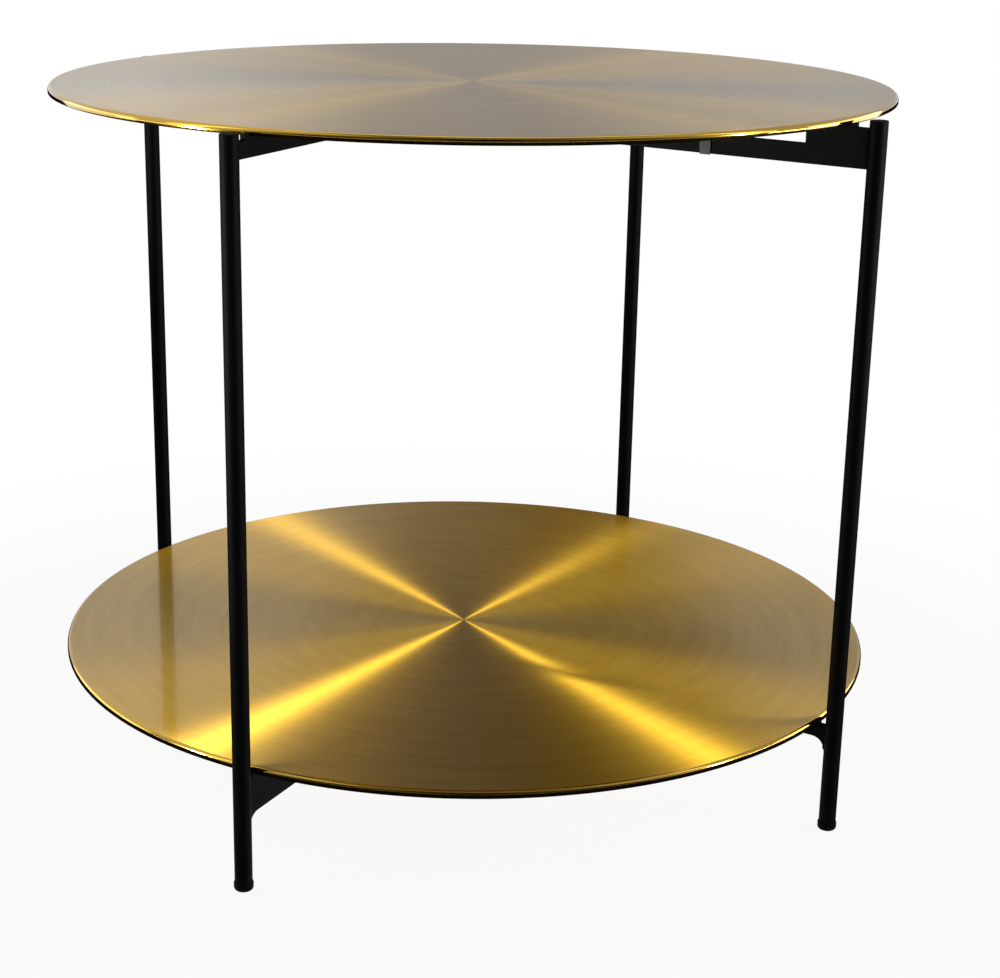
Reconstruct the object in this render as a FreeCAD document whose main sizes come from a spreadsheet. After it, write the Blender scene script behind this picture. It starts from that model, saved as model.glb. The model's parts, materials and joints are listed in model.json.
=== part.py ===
import FreeCAD, Part
import math
import os
import Sketcher

# Tiered side table. Two round trays of brushed brass sheet lie loose on two crossing leg frames.
# Each frame is one pair of opposite legs joined by an upper and a lower flat bar set on edge. The
# inner frame (front right and back left legs) stands inside the outer frame (front left and back
# right legs), and the two turn on a bolt where their bars cross under each tray.
#
# Millimetres. The origin is on the floor under the middle of the shelf, +Z is up, the front is -Y.

doc = FreeCAD.newDocument("TieredSideTable")
sheet = doc.addObject("Spreadsheet::Sheet", "sizes")

SIZES = [
    ("table_height", 500, "floor to the upper face of the table top"),
    ("shelf_height", 86, "floor to the upper face of the shelf"),
    ("top_radius", 300, "outside of the table top's rim"),
    ("shelf_extra", 4, "how much further out the shelf's rim is than the table top's"),
    ("tray_sheet", 1.2, "thickness of the tray metal"),
    ("rim_depth", 5, "upper face to the lower edge of the turned-down rim"),
    ("rim_bend", 2.8, "outside radius of the bend from face to rim"),
    ("tray_play", 0.6, "radial gap between the seats and the trays' rims round them"),
    ("leg_gap", 2.5, "gap between the shelf's rim and the legs"),
    ("leg_diameter", 12, "outside diameter of the leg tube"),
    ("leg_wall", 1.5, "wall of the leg tube"),
    ("leg_top_drop", 2.8, "upper face of the table top down to the end of the leg caps"),
    ("front_half_angle", 41.6, "degrees from the front direction to each front leg"),
    ("cap_thickness", 1.5, "head of the cap that closes each leg"),
    ("cap_edge", 0.5, "chamfer round the head of the cap"),
    ("foot_height", 6, "floor to the lower end of the leg tube"),
    ("foot_diameter", 13.2, "widest diameter of the foot glide"),
    ("foot_round", 2.5, "rounding of the foot glide's lower edge"),
    ("plug_length", 12, "length of cap and glide stems inside the tube"),
    ("plug_clearance", 0.05, "gap between a stem and the tube's bore"),
    ("bar_thickness", 4, "thickness of the flat bars"),
    ("upper_bar_height", 13.2, "height of the upper bars between the seats"),
    ("lower_bar_height", 14.6, "height of the lower bars between the seats"),
    ("upper_pad_cushion", 4.8, "cushion between the nearer upper bar and the top"),
    ("lower_pad_cushion", 1.8, "cushion between the nearer lower bar and the shelf"),
    ("seat_length", 35, "length of the raised seats at the upper bars' ends"),
    ("shelf_seat_length", 39, "length of the raised seats at the lower bars' ends"),
    ("seat_gap", 0.4, "gap between a seat and the tray above it"),
    ("notch_depth", 3, "rim's lower edge down to the floor of the notch beside each leg"),
    ("gusset_radius", 9, "rounded gusset between lower bar and leg"),
    ("boss_diameter", 16, "round boss in the middle of each bar"),
    ("thrust_washer", 2, "washer between the crossing bosses"),
    ("pivot_diameter", 6, "shank of the pivot bolt"),
    ("pivot_clearance", 0.08, "radial running gap between shank and boss"),
    ("thread_clearance", 0.02, "radial gap in the tapped boss"),
    ("head_diameter", 10.5, "head of the pivot bolt"),
    ("head_height", 3.3, "height of the pivot bolt's head"),
    ("socket_flats", 4, "hexagon socket in the head, across flats"),
    ("socket_depth", 2, "depth of the hexagon socket"),
    ("bolt_short", 0.5, "end of the shank below the tapped boss's upper face"),
    ("head_washer", 1.6, "washer under the bolt head"),
    ("head_washer_diameter", 12, "outside diameter of that washer"),
    ("pad_radius", 191, "table centre to the middle of each saddle pad"),
    ("pad_length", 8, "length of a saddle pad along its bar"),
    ("pad_wall", 1.2, "side wall of a saddle pad"),
    ("pad_overlap", 0.5, "how far a saddle pad reaches below its bar"),
]

for row, (alias, value, meaning) in enumerate(SIZES, start=1):
    sheet.set(f"A{row}", meaning)
    sheet.set(f"B{row}", str(value))
    sheet.setAlias(f"B{row}", alias)
doc.recompute()

# Heights and radii that several pieces share, written as expressions on the sheet.

SHELF_RADIUS = "(sizes.top_radius + sizes.shelf_extra)"
TOP_UNDERSIDE = "(sizes.table_height - sizes.tray_sheet)"
SHELF_UNDERSIDE = "(sizes.shelf_height - sizes.tray_sheet)"
TOP_RIM_EDGE = "(sizes.table_height - sizes.rim_depth)"
SHELF_RIM_EDGE = "(sizes.shelf_height - sizes.rim_depth)"

UPPER_OUTER_TOP = f"({TOP_UNDERSIDE} - sizes.upper_pad_cushion)"
UPPER_OUTER_BOTTOM = f"({UPPER_OUTER_TOP} - sizes.upper_bar_height)"
UPPER_INNER_TOP = f"({UPPER_OUTER_BOTTOM} - sizes.thrust_washer)"
UPPER_INNER_BOTTOM = f"({UPPER_INNER_TOP} - sizes.upper_bar_height)"
LOWER_INNER_TOP = f"({SHELF_UNDERSIDE} - sizes.lower_pad_cushion)"
LOWER_INNER_BOTTOM = f"({LOWER_INNER_TOP} - sizes.lower_bar_height)"
LOWER_OUTER_TOP = f"({LOWER_INNER_BOTTOM} - sizes.thrust_washer)"
LOWER_OUTER_BOTTOM = f"({LOWER_OUTER_TOP} - sizes.lower_bar_height)"

LEG_RADIUS = "(sizes.leg_diameter / 2)"
LEG_BORE = f"({LEG_RADIUS} - sizes.leg_wall)"
LEG_FACE = f"({SHELF_RADIUS} + sizes.leg_gap)"
LEG_RING = f"({LEG_FACE} + {LEG_RADIUS})"
LEG_TOP = "(sizes.table_height - sizes.leg_top_drop - sizes.cap_thickness)"
STEM_RADIUS = f"({LEG_BORE} - sizes.plug_clearance)"
TOP_SEAT_END = "(sizes.top_radius - sizes.tray_sheet - sizes.tray_play)"
SHELF_SEAT_END = f"({SHELF_RADIUS} - sizes.tray_sheet - sizes.tray_play)"
BOSS_RADIUS = "(sizes.boss_diameter / 2)"
SHANK_RADIUS = "(sizes.pivot_diameter / 2)"

# Each frame: its bars' direction in degrees from +X, and its two arms with the sign of their side.

INNER_DIRECTION = "(90 + sizes.front_half_angle)"
OUTER_DIRECTION = "(90 - sizes.front_half_angle)"
ARMS = {
    "front_right": (INNER_DIRECTION, -1),
    "back_left": (INNER_DIRECTION, 1),
    "front_left": (OUTER_DIRECTION, -1),
    "back_right": (OUTER_DIRECTION, 1),
}
INNER_ARMS = ("front_right", "back_left")

nodes = []


def number(expression):
    """The present value of an expression on the sheet."""
    return float(sheet.evalExpression(expression))


def bind(target, **properties):
    """Bind properties of an object to expressions."""
    for name, expression in properties.items():
        target.setExpression(name, expression)


def keep(target, label):
    """List an object as a finished sub-part of the table."""
    target.Label = label
    nodes.append(target)
    return target


def raise_to(target, height):
    target.setExpression("Placement.Base.z", height)


def stand_on_arm(target, arm, radius, height):
    """Place an object on an arm of its frame, turned into the line of the bar."""
    direction, side = ARMS[arm]
    target.setExpression("Placement.Base.x", f"{side} * {radius} * cos({direction})")
    target.setExpression("Placement.Base.y", f"{side} * {radius} * sin({direction})")
    target.setExpression("Placement.Rotation.Angle", direction)
    raise_to(target, height)


def origin_plane(body, role):
    for feature in body.Origin.OriginFeatures:
        if feature.Role == role:
            return feature
    raise RuntimeError(f"no {role} in {body.Name}")


def sketch_on(body, role, name):
    sketch = body.newObject("Sketcher::SketchObject", f"{body.Name}_{name}")
    sketch.AttachmentSupport = [(origin_plane(body, role), "")]
    sketch.MapMode = "FlatFace"
    return sketch


def draw_outline(sketch, corners):
    """A closed outline. A corner is (x, y), or (x, y, (centre x, centre y, radius)) where an arc
    leads to the next corner. All are expressions."""
    points = [FreeCAD.Vector(number(corner[0]), number(corner[1]), 0) for corner in corners]
    count = len(corners)
    ends = []
    for i, corner in enumerate(corners):
        start = points[i]
        end = points[(i + 1) % count]
        if len(corner) == 2:
            edge = sketch.addGeometry(Part.LineSegment(start, end), False)
            ends.append((edge, 1, 2))
            continue
        centre = FreeCAD.Vector(number(corner[2][0]), number(corner[2][1]), 0)
        clockwise = (start - centre).cross(end - centre).z < 0
        first, last = (end, start) if clockwise else (start, end)
        angles = [math.atan2(p.y - centre.y, p.x - centre.x) for p in (first, last)]
        if angles[1] < angles[0]:
            angles[1] += 2 * math.pi
        circle = Part.Circle(centre, FreeCAD.Vector(0, 0, 1), number(corner[2][2]))
        edge = sketch.addGeometry(Part.ArcOfCircle(circle, angles[0], angles[1]), False)
        ends.append((edge, 2, 1) if clockwise else (edge, 1, 2))
        radius = sketch.addConstraint(Sketcher.Constraint("Radius", edge, number(corner[2][2])))
        sketch.setExpression(f"Constraints[{radius}]", corner[2][2])
    for i, corner in enumerate(corners):
        edge, start_point, end_point = ends[i]
        before, before_start, before_end = ends[i - 1]
        sketch.addConstraint(Sketcher.Constraint("Coincident", before, before_end, edge, start_point))
        for kind, expression in (("DistanceX", corner[0]), ("DistanceY", corner[1])):
            made = Sketcher.Constraint(kind, -1, 1, edge, start_point, number(expression))
            index = sketch.addConstraint(made)
            sketch.setExpression(f"Constraints[{index}]", expression)


def draw_circle(sketch, x, radius):
    """A circle on the sketch's horizontal axis."""
    centre = FreeCAD.Vector(number(x), 0, 0)
    circle = Part.Circle(centre, FreeCAD.Vector(0, 0, 1), number(radius))
    edge = sketch.addGeometry(circle, False)
    for kind, expression in (("DistanceX", x), ("DistanceY", "0")):
        made = Sketcher.Constraint(kind, -1, 1, edge, 3, number(expression))
        index = sketch.addConstraint(made)
        if kind == "DistanceX":
            sketch.setExpression(f"Constraints[{index}]", expression)
    index = sketch.addConstraint(Sketcher.Constraint("Radius", edge, number(radius)))
    sketch.setExpression(f"Constraints[{index}]", radius)


def turned_body(label, corners):
    """A body turned about its own Z axis from an outline of (radius, height) corners."""
    body = doc.addObject("PartDesign::Body", label)
    sketch = sketch_on(body, "XZ_Plane", "profile")
    draw_outline(sketch, corners)
    turned = body.newObject("PartDesign::Revolution", f"{label}_turned")
    turned.Profile = sketch
    turned.ReferenceAxis = (sketch, ["V_Axis"])
    turned.Angle = 360
    body.Tip = turned
    return keep(body, label)


def ring(label, outer_radius, inner_radius, height):
    """A flat ring or tube standing on its own origin."""
    outside = doc.addObject("Part::Cylinder", f"{label}_outside")
    bind(outside, Radius=outer_radius, Height=height)
    inside = doc.addObject("Part::Cylinder", f"{label}_inside")
    bind(inside, Radius=inner_radius, Height=height)
    cut = doc.addObject("Part::Cut", label)
    cut.Base = outside
    cut.Tool = inside
    return keep(cut, label)


def tray(label, radius, height):
    """Round sheet-metal tray, its rim turned down. Heights are from its upper face."""
    bend = "sizes.rim_bend"
    gauge = "sizes.tray_sheet"
    bend_start = f"({radius} - {bend})"
    rim_inside = f"({radius} - {gauge})"
    body = turned_body(label, [
        ("0", f"-{gauge}"),
        (bend_start, f"-{gauge}", (bend_start, f"-{bend}", f"{bend} - {gauge}")),
        (rim_inside, f"-{bend}"),
        (rim_inside, "-sizes.rim_depth"),
        (radius, "-sizes.rim_depth"),
        (radius, f"-{bend}", (bend_start, f"-{bend}", bend)),
        (bend_start, "0"),
        ("0", "0"),
    ])
    raise_to(body, height)


def leg(arm):
    tube = ring(f"leg_{arm}", LEG_RADIUS, LEG_BORE, f"{LEG_TOP} - sizes.foot_height")
    stand_on_arm(tube, arm, LEG_RING, "sizes.foot_height")
    cap = turned_body(f"leg_cap_{arm}", [
        ("0", "-sizes.plug_length"),
        (STEM_RADIUS, "-sizes.plug_length"),
        (STEM_RADIUS, "0"),
        (LEG_RADIUS, "0"),
        (LEG_RADIUS, "sizes.cap_thickness - sizes.cap_edge"),
        (f"{LEG_RADIUS} - sizes.cap_edge", "sizes.cap_thickness"),
        ("0", "sizes.cap_thickness"),
    ])
    stand_on_arm(cap, arm, LEG_RING, LEG_TOP)
    foot_radius = "(sizes.foot_diameter / 2)"
    foot_flat = f"({foot_radius} - sizes.foot_round)"
    glide = turned_body(f"foot_glide_{arm}", [
        ("0", "0"),
        (foot_flat, "0", (foot_flat, "sizes.foot_round", "sizes.foot_round")),
        (foot_radius, "sizes.foot_round"),
        (foot_radius, "sizes.foot_height"),
        (STEM_RADIUS, "sizes.foot_height"),
        (STEM_RADIUS, "sizes.foot_height + sizes.plug_length"),
        ("0", "sizes.foot_height + sizes.plug_length"),
    ])
    stand_on_arm(glide, arm, LEG_RING, "0")


def cross_bar(label, direction, bottom, height, tray_underside, rim_edge, seat_end, seat_length,
              hole_radius, gusset):
    """Flat bar on edge between two legs. Heights in its sketches are from its lower edge."""
    body = doc.addObject("PartDesign::Body", label)
    seat_top = f"({tray_underside} - {bottom} - sizes.seat_gap)"
    notch_floor = f"({rim_edge} - {bottom} - sizes.notch_depth)"
    seat_start = f"({seat_end} - {seat_length})"
    if gusset:
        gusset_radius = "sizes.gusset_radius"
        gusset_start = f"({LEG_FACE} - {gusset_radius})"
        arc = (gusset_start, f"-{gusset_radius}", gusset_radius)
        lower_edge = [("0", "0"), (gusset_start, "0", arc), (LEG_FACE, f"-{gusset_radius}"),
                      (LEG_RING, f"-{gusset_radius}")]
    else:
        lower_edge = [("0", "0"), (LEG_RING, "0")]
    upper_edge = [
        (LEG_RING, notch_floor),
        (seat_end, notch_floor),
        (seat_end, seat_top),
        (seat_start, seat_top),
        (seat_start, height),
        ("0", height),
    ]
    arm_sketch = sketch_on(body, "XZ_Plane", "arm")
    draw_outline(arm_sketch, lower_edge + upper_edge)
    arm = body.newObject("PartDesign::Pad", f"{label}_arm")
    arm.Profile = arm_sketch
    arm.Midplane = True
    bind(arm, Length="sizes.bar_thickness")
    body.Tip = arm

    cope_sketch = sketch_on(body, "XY_Plane", "cope")
    draw_circle(cope_sketch, LEG_RING, LEG_RADIUS)
    cope = body.newObject("PartDesign::Pocket", f"{label}_cope")
    cope.Profile = cope_sketch
    cope.Type = "ThroughAll"
    cope.Midplane = True
    body.Tip = cope

    mirrored = body.newObject("PartDesign::Mirrored", f"{label}_both_arms")
    mirrored.Originals = [arm, cope]
    mirrored.MirrorPlane = (origin_plane(body, "YZ_Plane"), [""])
    body.Tip = mirrored

    boss_sketch = sketch_on(body, "XY_Plane", "boss")
    draw_circle(boss_sketch, "0", BOSS_RADIUS)
    boss = body.newObject("PartDesign::Pad", f"{label}_boss")
    boss.Profile = boss_sketch
    bind(boss, Length=height)
    body.Tip = boss

    hole_sketch = sketch_on(body, "XY_Plane", "hole")
    draw_circle(hole_sketch, "0", hole_radius)
    hole = body.newObject("PartDesign::Pocket", f"{label}_hole")
    hole.Profile = hole_sketch
    hole.Type = "ThroughAll"
    hole.Midplane = True
    body.Tip = hole

    body.setExpression("Placement.Rotation.Angle", direction)
    raise_to(body, bottom)
    keep(body, label)


def pivot(label, lower_boss_bottom, washer_bottom, upper_boss_top):
    """Bolt from below through one boss into the tapped boss above it, with its two washers."""
    thrust = ring(f"{label}_thrust_washer", BOSS_RADIUS, f"{SHANK_RADIUS} + sizes.pivot_clearance",
                  "sizes.thrust_washer")
    raise_to(thrust, washer_bottom)
    flat = ring(f"{label}_head_washer", "sizes.head_washer_diameter / 2",
                f"{SHANK_RADIUS} + sizes.pivot_clearance", "sizes.head_washer")
    raise_to(flat, f"{lower_boss_bottom} - sizes.head_washer")

    head_bottom = f"({lower_boss_bottom} - sizes.head_washer - sizes.head_height)"
    head = doc.addObject("Part::Cylinder", f"{label}_bolt_head")
    bind(head, Radius="sizes.head_diameter / 2", Height="sizes.head_height")
    shank = doc.addObject("Part::Cylinder", f"{label}_bolt_shank")
    bind(shank, Radius=SHANK_RADIUS, Height=f"{upper_boss_top} - {head_bottom} - sizes.bolt_short")
    solid = doc.addObject("Part::Fuse", f"{label}_bolt_solid")
    solid.Base = head
    solid.Tool = shank
    socket = doc.addObject("Part::Prism", f"{label}_bolt_socket")
    socket.Polygon = 6
    bind(socket, Circumradius="sizes.socket_flats / sqrt(3)", Height="sizes.socket_depth")
    bolt = doc.addObject("Part::Cut", f"{label}_bolt")
    bolt.Base = solid
    bolt.Tool = socket
    raise_to(bolt, head_bottom)
    keep(bolt, f"{label}_bolt")


def saddle_pad(label, arm, bar_bottom, bar_height, tray_underside):
    """Clear saddle straddling a bar, its cushion reaching up to the tray."""
    body = doc.addObject("PartDesign::Body", label)
    inside = "(sizes.bar_thickness / 2)"
    outside = f"({inside} + sizes.pad_wall)"
    cushion_top = f"({tray_underside} - {bar_bottom})"
    sketch = sketch_on(body, "YZ_Plane", "section")
    draw_outline(sketch, [
        (f"-{outside}", "-sizes.pad_overlap"),
        (f"-{inside}", "-sizes.pad_overlap"),
        (f"-{inside}", bar_height),
        (inside, bar_height),
        (inside, "-sizes.pad_overlap"),
        (outside, "-sizes.pad_overlap"),
        (outside, cushion_top),
        (f"-{outside}", cushion_top),
    ])
    block = body.newObject("PartDesign::Pad", f"{label}_block")
    block.Profile = sketch
    block.Midplane = True
    bind(block, Length="sizes.pad_length")
    body.Tip = block
    stand_on_arm(body, arm, "sizes.pad_radius", bar_bottom)
    keep(body, label)


tray("table_top", "sizes.top_radius", "sizes.table_height")
tray("shelf", SHELF_RADIUS, "sizes.shelf_height")

for arm_name in ARMS:
    leg(arm_name)

running_hole = f"({SHANK_RADIUS} + sizes.pivot_clearance)"
tapped_hole = f"({SHANK_RADIUS} + sizes.thread_clearance)"
upper = (TOP_UNDERSIDE, TOP_RIM_EDGE, TOP_SEAT_END, "sizes.seat_length")
lower = (SHELF_UNDERSIDE, SHELF_RIM_EDGE, SHELF_SEAT_END, "sizes.shelf_seat_length")
cross_bar("upper_bar_inner", INNER_DIRECTION, UPPER_INNER_BOTTOM, "sizes.upper_bar_height", *upper,
          running_hole, False)
cross_bar("upper_bar_outer", OUTER_DIRECTION, UPPER_OUTER_BOTTOM, "sizes.upper_bar_height", *upper,
          tapped_hole, False)
cross_bar("lower_bar_inner", INNER_DIRECTION, LOWER_INNER_BOTTOM, "sizes.lower_bar_height", *lower,
          tapped_hole, True)
cross_bar("lower_bar_outer", OUTER_DIRECTION, LOWER_OUTER_BOTTOM, "sizes.lower_bar_height", *lower,
          running_hole, True)

pivot("upper_pivot", UPPER_INNER_BOTTOM, UPPER_INNER_TOP, UPPER_OUTER_TOP)
pivot("lower_pivot", LOWER_OUTER_BOTTOM, LOWER_OUTER_TOP, LOWER_INNER_TOP)

for arm_name in ARMS:
    on_inner = arm_name in INNER_ARMS
    saddle_pad(f"top_pad_{arm_name}", arm_name, UPPER_INNER_BOTTOM if on_inner else UPPER_OUTER_BOTTOM,
               "sizes.upper_bar_height", TOP_UNDERSIDE)
    saddle_pad(f"shelf_pad_{arm_name}", arm_name, LOWER_INNER_BOTTOM if on_inner else LOWER_OUTER_BOTTOM,
               "sizes.lower_bar_height", SHELF_UNDERSIDE)

doc.recompute()

for item in doc.Objects:
    if "Invalid" in item.State or "Error" in item.State:
        raise RuntimeError(f"{item.Name} failed: {item.State}")
for node in nodes:
    if node.Shape.isNull() or not node.Shape.isValid() or len(node.Shape.Solids) != 1:
        raise RuntimeError(f"{node.Label} isn't one valid solid")

os.makedirs("parts", exist_ok=True)
for node in nodes:
    node.Shape.exportStep(f"parts/{node.Label}.step")
    box = node.Shape.BoundBox
    print(f"{node.Label}: {node.Shape.Volume / 1000:.2f} cm3, z {box.ZMin:.2f} to {box.ZMax:.2f}")
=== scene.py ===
"""Tiered side table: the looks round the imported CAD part.

Two round brushed brass trays rest on two crossing frames of black powder-coated steel.
Everything is in metres, in the CAD part's own frame: Z up, the front towards -Y.
"""

import json
import math

import bmesh
import bpy
from bpy.props import FloatProperty, FloatVectorProperty, IntProperty, PointerProperty
from mathutils import Matrix, Vector


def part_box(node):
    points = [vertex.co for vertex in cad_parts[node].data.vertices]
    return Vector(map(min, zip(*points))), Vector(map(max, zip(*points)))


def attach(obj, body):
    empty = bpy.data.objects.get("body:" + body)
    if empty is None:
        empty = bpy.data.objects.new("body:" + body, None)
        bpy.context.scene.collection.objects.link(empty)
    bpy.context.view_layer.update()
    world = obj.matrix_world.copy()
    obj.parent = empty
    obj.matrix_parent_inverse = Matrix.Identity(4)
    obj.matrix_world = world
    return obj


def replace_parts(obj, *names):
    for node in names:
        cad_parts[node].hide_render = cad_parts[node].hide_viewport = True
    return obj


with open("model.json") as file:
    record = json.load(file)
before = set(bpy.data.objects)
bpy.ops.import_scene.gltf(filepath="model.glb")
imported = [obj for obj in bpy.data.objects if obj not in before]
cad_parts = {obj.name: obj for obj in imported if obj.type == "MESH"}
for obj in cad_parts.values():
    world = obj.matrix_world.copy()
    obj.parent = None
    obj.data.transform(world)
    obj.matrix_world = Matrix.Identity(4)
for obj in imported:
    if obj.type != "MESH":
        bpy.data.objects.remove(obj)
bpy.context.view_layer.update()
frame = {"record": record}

bl_info = {
    "name": "Tiered side table",
    "version": (1, 0, 0),
    "blender": (4, 5, 0),
    "location": "3D View > Sidebar > Side table",
    "description": "Builds the trays, frames, fastenings and studio of a tiered side table",
    "category": "Object",
}

MM = 0.001
MERGE = 1e-6  # vertices nearer than this are one
ARMS = ("front_right", "back_left", "front_left", "back_right")
BODY_OF = {
    node: body for body, nodes in frame["record"]["behaviour"]["bodies"].items() for node in nodes
}


# Values a user would change


def linear(hex_colour):
    """The linear colour of an sRGB hex value such as #B08D3C."""
    channels = [int(hex_colour[i:i + 2], 16) / 255 for i in (1, 3, 5)]
    return tuple(c / 12.92 if c <= 0.04045 else ((c + 0.055) / 1.055) ** 2.4 for c in channels)


def length(name, description, millimetres):
    return FloatProperty(name=name, description=description, default=millimetres * MM,
                         min=0.0, unit="LENGTH", precision=5)


def angle(name, description, degrees):
    return FloatProperty(name=name, description=description, default=math.radians(degrees),
                         unit="ROTATION")


def brightness(name, description, value):
    return FloatProperty(name=name, description=description, default=value, min=0.0)


def share(name, description, value):
    return FloatProperty(name=name, description=description, default=value, min=0.0, max=1.0,
                         subtype="FACTOR")


def colour(name, description, hex_colour):
    return FloatVectorProperty(name=name, description=description, default=linear(hex_colour),
                               size=3, min=0.0, max=1.0, subtype="COLOR")


class TraySizes(bpy.types.PropertyGroup):
    """Sizes of the two sheet-metal trays."""

    sheet: length("Sheet", "Thickness of the tray metal", 1.2)
    bend: length("Bend", "Outside radius from the face to the turned-down rim", 2.8)
    play: length("Play", "Radial gap between the rims and the seats inside them", 0.6)
    edge: length("Edge", "Rounding of the rim's cut edge", 0.3)
    steps: IntProperty(name="Steps", description="Facets round a tray", default=256, min=32)


class FrameSizes(bpy.types.PropertyGroup):
    """Sizes of the legs, bars and what is fixed to them."""

    wall: length("Tube wall", "Wall of the leg tube", 1.5)
    stem_gap: length("Stem gap", "Gap between a stem and the bore", 0.05)
    cap_edge: length("Cap edge", "Chamfer round the head of a cap", 0.5)
    foot_round: length("Foot rounding", "Rounding of a glide's lower edge", 2.5)
    bar: length("Bar thickness", "Thickness of the flat bars", 4)
    bar_edge: length("Bar edge", "Coated rounding along a bar's edges", 0.45)
    upper_bar: length("Upper bar height", "Height of the upper bars between their seats", 13.2)
    lower_bar: length("Lower bar height", "Height of the lower bars between their seats", 14.6)
    upper_seat: length("Upper seat", "Length of the raised seats under the top", 35)
    lower_seat: length("Lower seat", "Length of the raised seats under the shelf", 39)
    notch: length("Notch", "Rim's lower edge down to the notch beside a leg", 3)
    gusset: length("Gusset", "Rounded gusset between a lower bar and a leg", 9)
    boss: length("Boss", "Radius of the round boss where the bars cross", 8)
    bead: length("Weld bead", "Radius of the weld beads", 1.1)
    bead_pitch: length("Bead pitch", "Distance between ripples of a weld bead", 1.6)
    pad_wall: length("Pad wall", "Side wall of a saddle pad", 1.2)
    pad_round: length("Pad rounding", "Rounding of a saddle pad's shoulders", 0.8)


class PivotSizes(bpy.types.PropertyGroup):
    """Sizes of the bolts and washers where the bars cross."""

    shank: length("Shank", "Radius of the bolt's shank", 3)
    head: length("Head", "Height of the bolt's head", 3.3)
    socket: length("Socket", "Across flats of the hexagon socket", 4)
    socket_depth: length("Socket depth", "Depth of the hexagon socket", 2)
    edge: length("Edge", "Chamfer round heads and washers", 0.35)


class Finishes(bpy.types.PropertyGroup):
    """Colours of the finishes."""

    brass: colour("Brass", "Lacquered brass where the brushing catches the light", "#E7BC3B")
    brass_deep: colour("Deep brass", "Brass in the deeper brush lines", "#DAAB30")
    coat: colour("Powder coat", "Black powder coat", "#060607")
    plastic: colour("Plastic", "Caps and foot glides", "#070707")
    oxide: colour("Black oxide", "Bolts and steel washers", "#26262A")
    nylon: colour("Nylon", "Thrust washers", "#1E1E1F")
    silicone: colour("Silicone", "Clear saddle pads", "#74766F")


class Studio(bpy.types.PropertyGroup):
    """Camera, lamps and floor."""

    bearing: angle("Bearing", "Camera's place round the table, clockwise from the front", 14.4)
    away: length("Away", "Camera to the middle of the table, along the floor", 1481.7)
    height: length("Height", "Camera above the floor", 658.4)
    pan: angle("Pan", "Camera turned to the left of the table's middle", 0.761)
    tilt: angle("Tilt", "Camera turned down", 17.457)
    roll: angle("Roll", "Camera rolled clockwise", 0.66)
    lens: FloatProperty(name="Lens", description="Focal length on a 36 mm sensor",
                        default=73.24, unit="CAMERA")
    aside: FloatProperty(name="Shift", description="Sideways shift of the frame", default=0.06)
    lamp_distance: length("Lamp distance", "Lamps to the middle of the table", 2000)
    strip_distance: length("Strip distance", "Left low strip to the middle of the table", 1200)
    left_low: brightness("Left low strip", "Brightness of the left low strip", 480)
    right_low: brightness("Right low strip", "Brightness of the right low strip", 640)
    left_high: brightness("Left high strip", "Brightness of the left high strip", 1)
    right_high: brightness("Right high strip", "Brightness of the right high strip", 1)
    left_panel: brightness("Left panel", "Brightness of the left panel", 0.8)
    right_panel: brightness("Right panel", "Brightness of the right panel", 1.2)
    left_rim: brightness("Left rim strip", "Brightness of what the rim's left side mirrors", 2)
    right_rim: brightness("Right rim strip", "Brightness of what its right side mirrors", 8)
    walls: share("Walls", "Brightness of the studio's walls", 0.38)
    left_wall: share("Left wall", "Brightness of the wall behind the table's left side", 0.66)
    right_wall: share("Right wall", "Brightness of the wall behind its right side", 0.46)
    ceiling: share("Ceiling", "Brightness overhead", 1.0)
    gap: share("Gap", "Brightness between the walls and the ceiling", 0.13)
    fill: share("Fill", "Soft light from all round on coats and paper", 0.4)
    paper: colour("Paper", "Floor paper", "#F4F4F2")


GROUPS = {"trays": TraySizes, "frames": FrameSizes, "pivots": PivotSizes, "finishes": Finishes,
          "studio": Studio}


class SideTable(bpy.types.PropertyGroup):
    """All values of the table."""

    trays: PointerProperty(name="Trays", description="Sizes of the trays", type=TraySizes)
    frames: PointerProperty(name="Frames", description="Sizes of the frames", type=FrameSizes)
    pivots: PointerProperty(name="Pivots", description="Sizes of the pivots", type=PivotSizes)
    finishes: PointerProperty(name="Finishes", description="Colours", type=Finishes)
    studio: PointerProperty(name="Studio", description="Camera and light", type=Studio)


def values():
    return bpy.context.scene.side_table


# Finishes


def add(tree, kind, inputs=None, **settings):
    """Adds a node, makes its settings, and gives its inputs values or other nodes' outputs."""
    made = tree.nodes.new(kind)
    for name, value in settings.items():
        setattr(made, name, value)
    for name, value in (inputs or {}).items():
        if isinstance(value, bpy.types.NodeSocket):
            tree.links.new(value, made.inputs[name])
        else:
            made.inputs[name].default_value = value
    return made


def new_material(name):
    material = bpy.data.materials.new(name)
    material.use_nodes = True
    material.node_tree.nodes.clear()
    return material, material.node_tree


def close_surface(tree, shader):
    add(tree, "ShaderNodeOutputMaterial", {"Surface": shader.outputs[0]})


def solid(rgb):
    return (*rgb, 1.0)


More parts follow.
